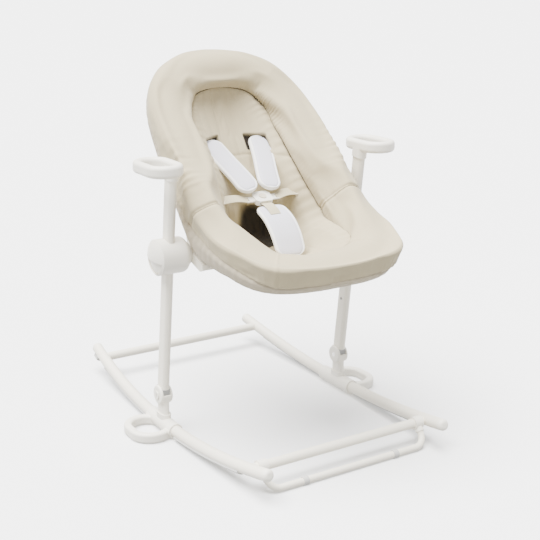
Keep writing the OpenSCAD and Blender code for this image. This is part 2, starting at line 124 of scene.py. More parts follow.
bpy.ops.object.select_all(action="DESELECT")
FLOOR_SIZE = 120
bpy.ops.mesh.primitive_plane_add(size=FLOOR_SIZE, location=(0, 0, 0))
floor = bpy.context.object
floor.name = "floor"
floor_paint, start = new_material("floor_paper")
place = start.node("ShaderNodeTexCoord", None, None, 3)
mottle = noise_of(start, place, 3.0)
shaded(floor_paint, {"Base Color": mixed(mottle, (0.93, 0.93, 0.93, 1), (0.95, 0.95, 0.95, 1))},
       {"Roughness": 0.85, "Specular IOR Level": 0.1})
floor.data.materials.append(floor_paint)
floor.visible_diffuse = False

room = bpy.data.worlds.new("studio")
scene.world = room
room.use_nodes = True
sky = room.node_tree.nodes["Background"]
sky.inputs["Color"].default_value = (1.0, 1.0, 1.0, 1)
ROOM_LIGHT = 1.2
ROOM_BRIGHTER_TO_SIGHT = 3.4
seen_direct = Wire(room.node_tree).node("ShaderNodeLightPath")
strength = ROOM_LIGHT + ROOM_BRIGHTER_TO_SIGHT * seen_direct
room.node_tree.links.new(strength.socket, sky.inputs["Strength"])

sun = bpy.data.lights.new("soft_box", "SUN")
sun.energy = 15.0
sun.angle = math.radians(58)
lamp = bpy.data.objects.new("soft_box", sun)
lamp.rotation_euler = Vector((-0.30, 0.04, 1.0)).to_track_quat("Z", "Y").to_euler()
scene.collection.objects.link(lamp)

lens = bpy.data.cameras.new("camera")
lens.sensor_width = 36
lens.lens = 72.17
camera = bpy.data.objects.new("camera", lens)
camera.location = (-1.17132, -1.94921, 0.99838)
camera.rotation_euler = (math.radians(73.479), 0, math.radians(-31.858))
scene.collection.objects.link(camera)
scene.camera = camera


# ---- Rocker base, posts and other tubes ----
# Steel tube, bent and powder coated in warm off-white. The coat is satin, with a faint
# orange-peel surface and a slightly fuller colour where it has run thin.

def coated(name, colour, rough, peel, peel_scale):
    """A hard opaque finish with a fine surface texture: powder coat or moulded plastic."""
    material, start = new_material(name)
    place = start.node("ShaderNodeTexCoord", None, None, 3)
    broad = noise_of(start, place, 9.0, 3.0)
    fine = noise_of(start, place, peel_scale, 2.0)
    dark = tuple(0.955 * c for c in colour[:3]) + (1,)
    return shaded(material, {
        "Base Color": mixed(broad, dark, colour),
        "Roughness": rough - 0.04 + 0.08 * fine,
        "Normal": relief(fine + 0.3 * broad, peel, 0.0002),
    }, {"Specular IOR Level": 0.45})


def finish(material, *names):
    for name in names:
        slots = nodes[name].data.materials
        if slots:
            for k in range(len(slots)):
                slots[k] = material
        else:
            slots.append(material)


CREAM = (0.90, 0.85, 0.725, 1)
powder_coat = coated("powder_coat", CREAM, 0.36, 0.18, 420.0)
finish(powder_coat, "left_rocker", "right_rocker", "front_cross_tube", "rear_cross_tube",
       "kickstand_bar", "left_post", "right_post", "seat_frame_tube", "back_frame_tube",
       "left_seat_bracket", "right_seat_bracket", "left_back_bracket", "right_back_bracket")


# ---- Moulded plastic: caps, forks, foot rings, handles and hubs ----
# Injection-moulded nylon in the tubes' colour, with the fine spark grain of the mould.

moulded_cream = coated("moulded_cream", (0.90, 0.86, 0.76, 1), 0.42, 0.35, 900.0)
finish(moulded_cream, "rocker_end_caps", "left_ring_foot", "right_ring_foot",
       "left_fork", "right_fork", "left_ring_handle", "right_ring_handle",
       "left_hub_shell", "right_hub_shell", "left_hub_cap", "right_hub_cap",
       "left_release_paddle", "right_release_paddle",
       "left_kick_clip", "right_kick_clip")
button_cream = coated("button_cream", (0.82, 0.79, 0.70, 1), 0.34, 0.15, 900.0)
finish(button_cream, "left_fold_button", "right_fold_button",
       "buckle_body", "buckle_tongues", "recline_housing")
buckle_beige = coated("buckle_beige", (0.60, 0.53, 0.41, 1), 0.38, 0.2, 900.0)
finish(buckle_beige, "buckle_button", "strap_adjusters")
moulded_grey = coated("moulded_grey", (0.33, 0.33, 0.325, 1), 0.46, 0.3, 900.0)
finish(moulded_grey, "left_post_shoe", "right_post_shoe", "recline_lever")


# ---- Metal and rubber small parts ----
# Zinc-plated pins, axles and springs, blackened stop screws, and soft rubber strips and
# bumpers where the base meets the floor.

def brushed(name, colour, rough):
    material, start = new_material(name)
    place = start.node("ShaderNodeTexCoord", None, None, 3)
    stretched = start.node("ShaderNodeMapping", None, {"Vector": place, "Scale": (4.0, 1.0, 1.0)})
    streaks = noise_of(start, stretched, 260.0, 3.0)
    return shaded(material, {
        "Roughness": rough - 0.05 + 0.12 * streaks,
        "Normal": relief(streaks, 0.08, 0.0001),
    }, {"Base Color": colour, "Metallic": 1.0})


plated_steel = brushed("plated_steel", (0.62, 0.61, 0.59, 1), 0.30)
finish(plated_steel, "left_pivot_pin", "right_pivot_pin", "left_seat_axle", "right_seat_axle",
       "left_lock_pin", "right_lock_pin", "left_lock_spring", "right_lock_spring")
dark_steel = brushed("dark_steel", (0.16, 0.155, 0.15, 1), 0.42)
finish(dark_steel, "post_end_stops")
soft_rubber = coated("soft_rubber", (0.55, 0.54, 0.51, 1), 0.62, 0.5, 700.0)
finish(soft_rubber, "grip_strips", "kickstand_bumpers", "rear_stops")


# ---- Padded rim ----
# A ring of soft wadding that runs round the head, the sides and the foot of the seat, in a
# smooth woven cover. It is one tube sewn to the liner inside and to the lower cover outside,
# and the cover is eased onto the inner seam in small gathers.

def threads(uv, pitch):
    """Height of a plain weave on a UV map in metres, from 0 to 1."""
    parts = uv.node("ShaderNodeSeparateXYZ", None, {"Vector": uv})
    across = Wire(uv.tree, parts.socket.node.outputs[1])
    turn = math.pi / pitch
    warp = (parts * turn).maths("SINE", parts * turn)
    weft = (across * turn).maths("SINE", across * turn)
    return 0.5 + 0.5 * warp * weft


def woven(name, light, dark, pitch, bump, rough=0.82, sheen=0.25, other=None):
    """Woven cloth: the yarns from a weave on the UV map, and slubs that run with them.

    other is a mesh attribute and a colour laid over the cloth where it is 1: painted shade on the
    liner, and the binding's own colour on the pads.
    """
    material, start = new_material(name)
    uv = start.node("ShaderNodeUVMap")
    weave = threads(uv, pitch)
    long_slubs = noise_of(start, start.node("ShaderNodeMapping", None,
                          {"Vector": uv, "Scale": (0.12, 1.0, 1.0)}), 1100.0, 2.0)
    cross_slubs = noise_of(start, start.node("ShaderNodeMapping", None,
                           {"Vector": uv, "Scale": (1.0, 0.12, 1.0)}), 1100.0, 2.0)
    place = start.node("ShaderNodeTexCoord", None, None, 3)
    broad = noise_of(start, place, 14.0, 4.0)
    tone = (0.30 * weave + 0.25 * long_slubs + 0.25 * cross_slubs + 0.35 * broad)
    colour = mixed(tone, dark, light)
    if other:
        share = start.node("ShaderNodeAttribute", {"attribute_name": other[0]}, None, 2)
        colour = mixed(share, colour, other[1])
    return shaded(material, {
        "Base Color": colour,
        "Roughness": rough - 0.05 + 0.1 * long_slubs,
        "Normal": relief(weave + 0.5 * long_slubs + 0.5 * cross_slubs + 0.4 * broad,
                         bump, 0.00022),
    }, {"Specular IOR Level": 0.18, "Sheen Weight": sheen, "Sheen Roughness": 0.45,
        "Sheen Tint": (1.0, 0.97, 0.92, 1)})


rim_cloth = woven("rim_cloth", (0.515, 0.443, 0.29, 1), (0.435, 0.371, 0.237, 1), 0.0008, 0.35)


def grid_mesh(name, points, uvs, closed):
    """A mesh from a grid of points, joined to itself across rows and along them as asked."""
    rows, columns = points.shape[:2]
    row = np.arange(rows if closed[0] else rows - 1)
    column = np.arange(columns if closed[1] else columns - 1)
    i, j = (a.ravel() for a in np.meshgrid(row, column, indexing="ij"))
    corners = [(i, j), (i + 1, j), (i + 1, j + 1), (i, j + 1)]
    faces = np.stack([(a % rows) * columns + b % columns for a, b in corners], axis=1)
    mesh = bpy.data.meshes.new(name)
    mesh.from_pydata(points.reshape(-1, 3).tolist(), [], faces.tolist())
    flat = np.stack([np.stack([uvs[0][a], uvs[1][b]], axis=1) for a, b in corners], axis=1)
    mesh.uv_layers.new(name="UVMap").data.foreach_set("uv", flat.ravel().astype(np.float32))
    piece = bpy.data.objects.new(name, mesh)
    scene.collection.objects.link(piece)
    mesh.polygons.foreach_set("use_smooth", [True] * len(mesh.polygons))
    return piece


def coords_of(mesh):
    flat = np.empty(len(mesh.vertices) * 3, np.float32)
    mesh.vertices.foreach_get("co", flat)
    return flat.reshape(-1, 3).astype(float)


def normals_of(mesh):
    flat = np.empty(len(mesh.vertices) * 3, np.float32)
    mesh.vertex_normals.foreach_get("vector", flat)
    return flat.reshape(-1, 3).astype(float)


def set_coords(mesh, coords):
    mesh.vertices.foreach_set("co", coords.astype(np.float32).ravel())
    mesh.update()


def cloth_places(mesh):
    """Each vertex's place on the flat cloth, in metres, from the UV map."""
    corner = np.empty(len(mesh.loops), np.int32)
    mesh.loops.foreach_get("vertex_index", corner)
    flat = np.empty(len(mesh.loops) * 2, np.float32)
    mesh.uv_layers[0].data.foreach_get("uv", flat)
    places = np.zeros((len(mesh.vertices), 2))
    places[corner] = flat.reshape(-1, 2)
    return places


def apply_modifier(piece, kind, **settings):
    bpy.ops.object.select_all(action="DESELECT")
    bpy.context.view_layer.objects.active = piece
    piece.select_set(True)
    modifier = piece.modifiers.new(kind.lower(), kind)
    for name, value in settings.items():
        setattr(modifier, name, value)
    bpy.ops.object.modifier_apply(modifier=modifier.name)


def from_middle(values, middle, width):
    """1 at the middle, falling away to 0 on both sides in a bell of this width."""
    return np.exp(-((values - middle) / width) ** 2)


def rough_over(points, scale, shift=(0, 0, 0)):
    """Smooth noise from -1 to 1 at each point, with lumps of about 1 / scale metres."""
    return np.array([noise.noise(Vector(p) * scale + Vector(shift)) for p in points])


def calmed(move, reach=12, kept=0.22):
    """Evens out the swelling along the tube, and keeps a share of its own creases."""
    shifts = range(-reach, reach + 1)
    shares = [math.exp(-(2.2 * shift / reach) ** 2) for shift in shifts]
    smooth = sum(share * np.roll(move, shift, axis=0) for share, shift in zip(shares, shifts))
    return kept * move + (1 - kept) * smooth / sum(shares)


LAST_MOMENT = 20


def stuff(piece, rows, sewn, pressure, ease, cap):
    """Fills a closed cover by cloth simulation: sewn vertices are held, the rest swell.

    ease is how much larger the cloth is cut than the shape, and cap is the furthest that a
    vertex may move, in metres.
    """
    mesh = piece.data
    held = piece.vertex_groups.new(name="sewn")
    levels = 10
    for level in range(1, levels + 1):
        chosen = np.flatnonzero(np.round(sewn * levels) == level)
        held.add(chosen.tolist(), level / levels, "REPLACE")
    before = coords_of(mesh)
    cloth = piece.modifiers.new("cloth", "CLOTH")
    cloth.settings.quality = 5
    cloth.settings.mass = 0.15
    cloth.settings.tension_stiffness = 18
    cloth.settings.compression_stiffness = 18
    cloth.settings.shear_stiffness = 6
    cloth.settings.bending_stiffness = 0.35
    cloth.settings.use_pressure = True
    cloth.settings.uniform_pressure_force = pressure
    cloth.settings.shrink_min = -ease
    cloth.settings.vertex_group_mass = "sewn"
    cloth.settings.effector_weights.gravity = 0
    cloth.collision_settings.use_collision = False
    for moment in range(1, LAST_MOMENT + 1):
        scene.frame_set(moment)
    solved = piece.evaluated_get(bpy.context.evaluated_depsgraph_get())
    after = coords_of(solved.data)
    piece.modifiers.remove(cloth)
    scene.frame_set(1)
    piece.vertex_groups.clear()
    move = after - before
    far = np.linalg.norm(move, axis=1)
    move *= np.minimum(1, cap / np.maximum(far, 1e-9))[:, None]
    set_coords(mesh, before + calmed(move.reshape(rows, -1, 3)).reshape(-1, 3))


# Centre line of the rim's +X half from head to foot, then half its width and half its height
RIM_HALF = np.array([
    (0.000, 0.172, 0.745, 0.045, 0.044), (0.062, 0.168, 0.740, 0.046, 0.044),
    (0.112, 0.150, 0.718, 0.047, 0.044), (0.140, 0.114, 0.676, 0.048, 0.044),
    (0.149, 0.058, 0.622, 0.050, 0.045), (0.152, 0.000, 0.567, 0.051, 0.049),
    (0.154, -0.050, 0.515, 0.051, 0.058), (0.155, -0.100, 0.468, 0.050, 0.064),
    (0.154, -0.155, 0.440, 0.050, 0.056), (0.146, -0.215, 0.422, 0.049, 0.048),
    (0.118, -0.268, 0.414, 0.048, 0.041), (0.062, -0.290, 0.411, 0.047, 0.038),
    (0.000, -0.293, 0.410, 0.047, 0.037),
])
LAST = len(RIM_HALF) - 1
MIRROR = np.array([-1, 1, 1, 1, 1])
RING = np.vstack([RIM_HALF, (RIM_HALF * MIRROR)[-2:0:-1]])


def spline(table, u):
    """Smooth closed curve through the rows of a table, at places u counted in rows."""
    count = len(table)
    whole = np.floor(u).astype(int)
    t = (u - whole)[:, None]
    a, b, c, d = (table[(whole + k) % count] for k in (-1, 0, 1, 2))
    return b + 0.5 * t * (c - a + t * (2 * a - 5 * b + 4 * c - d + t * (3 * b - a - 3 * c + d)))


def unit(vectors):
    return vectors / np.linalg.norm(vectors, axis=-1, keepdims=True)


def ramp(values, low, high):
    t = np.clip((values - low) / (high - low), 0, 1)
    return t * t * (3 - 2 * t)


def rim_frame(u):
    """Centre, outward and upward directions and half sizes of the rim at places u."""
    rows = spline(RING, u)
    along = unit(spline(RING, u + 0.05)[:, :3] - spline(RING, u - 0.05)[:, :3])
    back = np.clip((rows[:, 1] + 0.16) / 0.12, 0, 1)[:, None]
    facing = (1 - back) * np.array([0, -0.12, 0.99]) + back * np.array([0, -0.66, 0.75])
    up = unit(facing - along * np.sum(facing * along, axis=1, keepdims=True))
    out = np.cross(up, along)
    return rows[:, :3], out, up, rows[:, 3:4], rows[:, 4:5]


def even_places(count):
    """Places round the rim at even distances, and its length."""
    dense = np.linspace(0, len(RING), 4801)
    steps = np.linalg.norm(np.diff(spline(RING, dense)[:, :3], axis=0), axis=1)
    length = np.concatenate([[0], np.cumsum(steps)])
    return np.interp(np.arange(count) * length[-1] / count, length, dense), length[-1]


def from_head(u):
    """Place round the rim folded onto one side: 0 at the head, 12 at the foot."""
    return np.minimum(u, len(RING) - u)


# Three outlines of the rim's section, from the outer lower seam over the top, as shares of its
# half sizes: round at the back, with a lifted flat side under a soft edge beside the sitter, and
# with a deep flat side at the foot
BACK_SECTION = np.array([
    (0.88, -0.50), (0.98, -0.22), (1.00, 0.12), (0.92, 0.45), (0.70, 0.75), (0.34, 0.94),
    (-0.10, 0.98), (-0.52, 0.86), (-0.84, 0.56), (-0.98, 0.14), (-0.94, -0.32),
    (-0.56, -0.52), (0.00, -0.55), (0.50, -0.55),
])
SIDE_SECTION = np.array([
    (0.84, -0.14), (0.92, 0.02), (0.99, 0.22), (1.03, 0.46), (0.76, 0.68), (0.40, 0.85),
    (-0.02, 0.93), (-0.46, 0.84), (-0.80, 0.54), (-0.97, 0.10), (-0.94, -0.32),
    (-0.60, -0.36), (0.00, -0.34), (0.54, -0.24),
])
FRONT_SECTION = np.array([
    (0.86, -0.62), (0.93, -0.28), (1.00, 0.08), (1.05, 0.44), (0.76, 0.64), (0.40, 0.80),
    (-0.02, 0.90), (-0.46, 0.82), (-0.80, 0.54), (-0.97, 0.10), (-0.94, -0.36),
    (-0.60, -0.48), (0.00, -0.52), (0.54, -0.56),
])
# Points of the outline at the soft edge and at the inner seam
EDGE_KNOT = 3
INNER_KNOT = 10
# Where the cross seams lie and where the rim is slimmest beside the hips, in rows from the head
HIP_SEAM = 6.78
CORNER_SEAM = 10.12
HIP = 6.9
HIP_REACH = 1.3
HIP_SLIM = 0.24
RIM_ROWS = 528
RIM_SIDES = 42
GIRTH = 0.30

places, rim_length = even_places(RIM_ROWS)
centre, outward, upward, half_w, half_h = rim_frame(places)
knots = np.linspace(0, len(BACK_SECTION), RIM_SIDES, endpoint=False)
folded = from_head(places)[:, None]
seatward = ramp(folded, 5.0, 7.6)[..., None]
frontward = ramp(folded, 8.8, 10.6)[..., None]
seat_section = ((1 - frontward) * spline(SIDE_SECTION, knots)
                + frontward * spline(FRONT_SECTION, knots))
# The tube starts a little slimmer than its finished size, because stuffing swells it
UNSTUFFED = 0.965
section = UNSTUFFED * ((1 - seatward) * spline(BACK_SECTION, knots) + seatward * seat_section)
# The outer side stands out at the front corners
corner = from_middle(folded, CORNER_SEAM, 0.5)
section[..., 0] *= 1 + 0.24 * corner * np.clip(section[..., 0], 0, 1) ** 2
# The soft edge rises ahead of the hips
lift = 0.20 * from_middle(folded, 9.3, 1.0)
section[..., 1] += lift * from_middle(knots, EDGE_KNOT, 0.9)
# The inner side is flatter and slimmer beside the hips
hip = from_middle(folded, HIP, HIP_REACH)
section[..., 1] *= 1 - 0.55 * hip * np.clip(0.15 - section[..., 0], 0, 1) * (section[..., 1] > 0)
section[..., 0] += HIP_SLIM * hip * np.clip(-section[..., 0], 0, 1)
# The cross seam pinches the whole tube
pinch = 0.10 * from_middle(folded, HIP_SEAM, 0.07)[..., None]
grid = (centre[:, None] + outward[:, None] * section[..., :1] * (1 - pinch) * half_w[:, None]
        + upward[:, None] * section[..., 1:] * (1 - pinch) * half_h[:, None])
rim = grid_mesh("padded_rim", grid,
                (np.arange(RIM_ROWS + 1) * rim_length / RIM_ROWS,
                 np.arange(RIM_SIDES + 1) * GIRTH / RIM_SIDES), (True, True))
# Held where it is sewn: all along the underside, at the seat's soft edge and at the cross seam
underside = (knots > INNER_KNOT + 0.4) | (knots < 0.2)
sewn = np.where(underside, 1.0, 0.0)[None, :] * np.ones((RIM_ROWS, 1))
sewn = np.maximum(sewn, from_middle(knots, EDGE_KNOT, 0.30)[None, :] * seatward[:, :, 0])
sewn = np.maximum(sewn, from_middle(folded, HIP_SEAM, 0.03))
stuff(rim, RIM_ROWS, sewn.ravel(), pressure=4.5, ease=0.012, cap=0.011)
apply_modifier(rim, "SUBSURF", levels=1, render_levels=1)


def gathers(length, spacing, seed):
    """Uneven folds along a seam of this length: a height from -1 to 1 and a reach for each.

    Ridges and hollows take turns, and a pair takes up about one spacing.
    """
    dice = random.Random(seed)
    at, height, reach = [0.0], [0.0], [1.0]
    while at[-1] < length - 2 * spacing:
        at.append(at[-1] + spacing * dice.uniform(0.32, 0.72))
        height.append((1 if len(at) % 2 else -1) * dice.uniform(0.25, 1.0))
        reach.append(dice.uniform(0.5, 1.5))
    at.append(length)
    height.append(0.0)
    reach.append(1.0)
    return np.array(at), np.array(height), np.array(reach)


def gathered(along, folds):
    """Height and reach of the folds at distances along their seam."""
    at, height, reach = folds
    whole = np.searchsorted(at, along, side="right").clip(1, len(at) - 1)
    t = (along - at[whole - 1]) / (at[whole] - at[whole - 1])
    t = t * t * (3 - 2 * t)
    return (height[whole - 1] * (1 - t) + height[whole] * t,
            reach[whole - 1] * (1 - t) + reach[whole] * t)


flat = cloth_places(rim.data)
along, around = flat[:, 0], flat[:, 1] / GIRTH * len(BACK_SECTION)
station = np.interp(along, np.arange(RIM_ROWS + 1) * rim_length / RIM_ROWS,
                    np.append(places, len(RING)))
folded = from_head(station)
outer_half = around < 6
# Gathers along the inner seam, largest at the corners of the head
height, reach = gathered(along, gathers(rim_length, 0.0075, 11))
by_inner_seam = (from_middle(around, INNER_KNOT - 0.3, 1.15 * reach)
                 * (around < INNER_KNOT + 0.8))
inner = 0.0020 * (0.10 + 0.90 * from_middle(folded, 2.5, 1.1)) * height * by_inner_seam
# Small folds along the lower seam, and longer ones on the outer side behind the hips
fold, fold_reach = gathered(along, gathers(rim_length, 0.014, 12))
lower = 0.0006 * fold * from_middle(around, 0, 0.7 * fold_reach) * outer_half
fold, fold_reach = gathered(along, gathers(rim_length, 0.019, 13))
side = (0.0016 * fold * from_middle(folded, 5.2, 0.75)
        * from_middle(around, 3.6, 1.9 * fold_reach))
# Puckers beside the cross seam and at the foot of the corner seam, and the two seams' grooves
pucker = gathered(flat[:, 1], gathers(GIRTH, 0.012, 14))[0]
pucker = 0.0008 * pucker * np.exp(-np.abs(folded - HIP_SEAM) / 0.16)
corner_foot = (0.0022 * height * np.exp(-np.abs(folded - CORNER_SEAM) / 0.22)
               * from_middle(around, 0.2, 1.6) * outer_half)
seam_line = (0.0030 * from_middle(folded, HIP_SEAM, 0.032)
             + 0.0014 * from_middle(folded, CORNER_SEAM, 0.03))
# The ridge along the seat's soft edge
edge_line = 0.0008 * from_middle(around, EDGE_KNOT, 0.10) * ramp(folded, 7.0, 8.2)
points = coords_of(rim.data)
wadding = 0.0010 * rough_over(points, 22) + 0.0020 * rough_over(points, 9, (5, 2, 8))
rise = inner + lower + side + pucker - seam_line + corner_foot + edge_line + wadding
set_coords(rim.data, points + normals_of(rim.data) * rise[:, None])
rim.data.materials.append(rim_cloth)
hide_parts("back_bolster", "seat_bolster")
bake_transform(rim)


# ---- Seat liner ----
# A thin padded insert that lines the hollow of the seat, from under the rim on one side to
# the other and from the head to the foot. Its cover is loose enough to lie in soft creases.

# Near-black painted shade, laid into the liner's colour in its shoulder slots, in the well under
# the crotch pad and along its crevice against the rim
PAINTED_SHADE_COLOUR = (0.016, 0.012, 0.008, 1)
liner_cloth = woven("liner_cloth", (0.515, 0.443, 0.29, 1), (0.435, 0.371, 0.237, 1), 0.0008, 0.35,
                    other=("painted_shade", PAINTED_SHADE_COLOUR))

# Middle line of the liner's face at each station of the rim, from head to foot
SPINE = np.array([
    (0.158, 0.710), (0.156, 0.698), (0.146, 0.666), (0.122, 0.624), (0.084, 0.570),
    (0.044, 0.518), (0.014, 0.462), (-0.006, 0.404), (-0.080, 0.381), (-0.165, 0.382),
    (-0.235, 0.384), (-0.262, 0.385), (-0.272, 0.386),
])
SPINE_RING = np.vstack([SPINE, SPINE[-2:0:-1]])


def spine_at(u):
    rows = spline(SPINE_RING, u)
    return np.column_stack([np.zeros(len(u)), rows])


def spine_normal(u):
    """Direction square to the middle line, towards the sitter."""
    folded = np.clip(from_head(u % len(RING)), 0.1, LAST - 0.1)
    step = spine_at(folded + 0.05) - spine_at(folded - 0.05)
    step[:, 0] = 0
    flat = np.column_stack([np.zeros(len(u)), step[:, 2], -step[:, 1]])
    return unit(flat)


def edited(piece, *steps):
    """Runs edit-mode steps on one piece: each is an operator of bpy.ops.mesh and its settings."""
    bpy.ops.object.select_all(action="DESELECT")
    bpy.context.view_layer.objects.active = piece
    piece.select_set(True)
    bpy.ops.object.mode_set(mode="EDIT")
    for operator, settings in steps:
        getattr(bpy.ops.mesh, operator)(**settings)
    bpy.ops.object.mode_set(mode="OBJECT")


def faced(skin, upwards):
    """Closes a skin's seam and pole, turns its faces up or down, and gives its normals."""
    edited(skin, ("select_all", {"action": "SELECT"}), ("remove_doubles", {"threshold": 0.00003}),
           ("normals_make_consistent", {"inside": False}))
    normals = normals_of(skin.data)
    if (normals[:, 2].mean() > 0) != upwards:
        skin.data.flip_normals()
        normals = -normals
    return normals


def creases_over(points, across, along, layer):
    """Smooth noise that is drawn out along the seat, by its scales across and along."""
    return np.array([noise.noise(Vector((x * across, (y + z) * along, layer)))
                     for x, y, z in points])


# Middle of each shoulder slot across and up, its half sizes, and the well under the crotch pad
SLOT_AT = (0.055, 0.589)
SLOT_HALF = (0.019, 0.013)
SHOULDER_SEAM_Z = 0.563
WELL_AT = (0.0, -0.018)
WELL_HALF = (0.050, 0.040)
WELL_TOP_Z = 0.468
LINER_ROWS = 640
LINER_COLUMNS = 66
LINER_WIDTH = 0.15
places, rim_length = even_places(LINER_ROWS)
centre, outward, upward, half_w, half_h = rim_frame(places)
t = np.linspace(0, 1, LINER_COLUMNS)
folded = from_head(places)[:, None]
# The edge is inside the rim's inner face, and it lies higher beside the seat than at the back
edge_level = -0.24 + 0.42 * ramp(folded, 6.6, 8.2)
hip = from_middle(folded, HIP, HIP_REACH)
edge_reach = 0.74 - HIP_SLIM * hip
edge = centre - outward * edge_reach * half_w + upward * edge_level * half_h
middle = spine_at(places)
drop = middle - edge
deep = np.sum(drop * upward, axis=1, keepdims=True)
level = drop - upward * deep
grid = (edge[:, None] + level[:, None] * t[None, :, None]
        + upward[:, None] * deep[:, None] * ramp(t[None, :], -0.05, 0.85 - 0.30 * hip)[..., None])
liner = grid_mesh("seat_liner", grid,
                  (np.arange(LINER_ROWS + 1) * rim_length / LINER_ROWS,
                   np.arange(LINER_COLUMNS) * LINER_WIDTH / LINER_COLUMNS), (True, False))
normals = faced(liner, upwards=True)
points = coords_of(liner.data)
flat = cloth_places(liner.data)
share = flat[:, 1] / LINER_WIDTH
height, reach = gathered(flat[:, 0], gathers(rim_length, 0.020, 21))
edge_folds = 0.0012 * height * from_middle(share, 0.10, 0.20 * reach)
creases = creases_over(points, 42, 7, 3.1)
lumps = rough_over(points, 14, (1, 7, 4))
fold_line = -from_middle(creases, 0.05, 0.10)
shoulder_seam = from_middle(points[:, 2], SHOULDER_SEAM_Z, 0.003)
slot = np.zeros(len(points))
for side in (-1, 1):
    off = np.maximum(np.abs(points[:, 0] - side * SLOT_AT[0]) - SLOT_HALF[0], 0)
    off = np.hypot(off, np.maximum(np.abs(points[:, 2] - SLOT_AT[1]) - SLOT_HALF[1], 0))
    slot = np.maximum(slot, 1 - ramp(off, 0.0, 0.004))
off = (points[:, :2] - np.array(WELL_AT)) / np.array(WELL_HALF)
well = (1 - ramp(np.linalg.norm(off, axis=1), 0.75, 1.1)) * (points[:, 2] < WELL_TOP_Z)
# Distance from the rim, for the crevice that the liner makes with it and for the shade painted
# dark along that crevice
rim_faces = [list(face.vertices) for face in rim.data.polygons]
rim_tree = BVHTree.FromPolygons(coords_of(rim.data).tolist(), rim_faces)
gap = np.array([rim_tree.find_nearest(Vector(p))[3] for p in points])
# The faces draw together at the head and the foot, so the cover is smooth there
head_and_foot = spine_at(np.array([0.0, float(LAST)]))
to_pole = np.linalg.norm(points[:, None] - head_and_foot, axis=2).min(axis=1)
calm = ramp(to_pole, 0.004, 0.025)
rise = (edge_folds + 0.006 * ramp(share, 0.08, 0.24)
        + calm * (0.0034 * creases + 0.0030 * lumps + 0.0014 * fold_line) * ramp(share, 0.1, 0.4)
        - 0.0016 * shoulder_seam - 0.009 * slot - 0.008 * well
        - 0.0025 * from_middle(gap, 0, 0.005))
set_coords(liner.data, points + normals * rise[:, None])
# Painted shade: the liner's colour goes near black in the shoulder slots and in the well under the
# crotch pad, where shade falls
painted_shade = liner.data.attributes.new("painted_shade", "FLOAT", "POINT")
# Painted shade in a thin line along the crevice where the liner meets the rim
crevice_shade = 0.85 * (1 - ramp(gap, 0.0010, 0.0034))
painted_shade.data.foreach_set("value", np.maximum(np.maximum(slot, well), crevice_shade).astype(np.float32))
apply_modifier(liner, "SOLIDIFY", thickness=0.008, offset=-1.0)
liner.data.materials.append(liner_cloth)
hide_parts("back_pad", "seat_pad")
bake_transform(liner)


# ---- Lower cover ----
# The outside of the seat's cover: a single skin that starts at the rim's lower seam, where it
# is gathered, wraps under the frame tubes and stretches across behind the back and the seat.

cover_cloth = woven("cover_cloth", (0.50, 0.435, 0.32, 1), (0.43, 0.37, 0.27, 1), 0.0009, 0.4)

COVER_COLUMNS = 40
COVER_WIDTH = 0.26
# The cover's edge below the rim is given at four shares of its width: how far out it lies, as a
# share of the rim's half width, and below that its depth in metres under the rim's centre
COVER_KNOTS = np.array([0.0, 0.08, 0.2, 0.34])
KNOT_OUT = np.array([0.78, 0.87, 0.70, 0.10])
SEAT_UNDERSIDE_Z = 0.371
BEHIND_LINER = 0.017
folded = from_head(places)
seatward = ramp(folded, 5.6, 8.0)
frontward = ramp(folded, 8.8, 10.6)
lip = half_h[:, 0] * (0.42 * (1 - seatward) + (0.04 + 0.50 * frontward) * seatward)
belly_back = 0.052 + 0.004 * ramp(folded, 3.0, 6.0)
belly_seat = np.clip(centre[:, 2] - SEAT_UNDERSIDE_Z, 0.03, 0.075)
belly = belly_back * (1 - seatward) + belly_seat * seatward
tuck = from_middle(folded, 8.3, 1.1)
depths = np.stack([lip, lip + (0.35 - 0.15 * tuck) * (belly - lip),
                   lip + (0.92 - 0.34 * tuck) * (belly - lip), belly], axis=1)
behind = spine_at(places) - BEHIND_LINER * spine_normal(places)
columns = []
for place_on in np.linspace(0, 1, COVER_COLUMNS):
    reach_out = np.interp(place_on, COVER_KNOTS, KNOT_OUT)
    depth = np.array([np.interp(place_on, COVER_KNOTS, d) for d in depths])
    rimside = centre + outward * reach_out * half_w - upward * depth[:, None]
    if place_on <= COVER_KNOTS[-1]:
        columns.append(rimside)
        last = rimside
    else:
        share = (place_on - COVER_KNOTS[-1]) / (1 - COVER_KNOTS[-1])
        drop = behind - last
        deep = np.sum(drop * upward, axis=1, keepdims=True)
        level = drop - upward * deep
        columns.append(last + level * share + upward * deep * (share * share * (3 - 2 * share)))
grid = np.stack(columns, axis=1)
cover = grid_mesh("lower_cover", grid,
                  (np.arange(LINER_ROWS + 1) * rim_length / LINER_ROWS,
                   np.arange(COVER_COLUMNS) * COVER_WIDTH / COVER_COLUMNS), (True, False))
normals = faced(cover, upwards=False)
points = coords_of(cover.data)
flat = cloth_places(cover.data)
share = flat[:, 1] / COVER_WIDTH
height, reach = gathered(flat[:, 0], gathers(rim_length, 0.016, 31))
folds = 0.0011 * height * from_middle(share, 0.05, 0.10 * reach)
rise = folds + 0.0025 * creases_over(points, 20, 12, 9.4) * ramp(share, 0.1, 0.4)
set_coords(cover.data, points + normals * rise[:, None])
apply_modifier(cover, "SOLIDIFY", thickness=0.0016, offset=-1.0)
cover.data.materials.append(cover_cloth)
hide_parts("back_sling", "seat_sling")
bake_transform(cover)


# ---- Harness pads ----
# Two shoulder pads and an arched crotch pad in white quilted cotton over thin foam, bound and
# top-stitched close to the edge.

quilted = woven("quilted_cotton", (0.68, 0.67, 0.735, 1), (0.60, 0.59, 0.65, 1), 0.0011, 0.5,
                0.78, 0.2, other=("binding", (0.87, 0.86, 0.84, 1)))


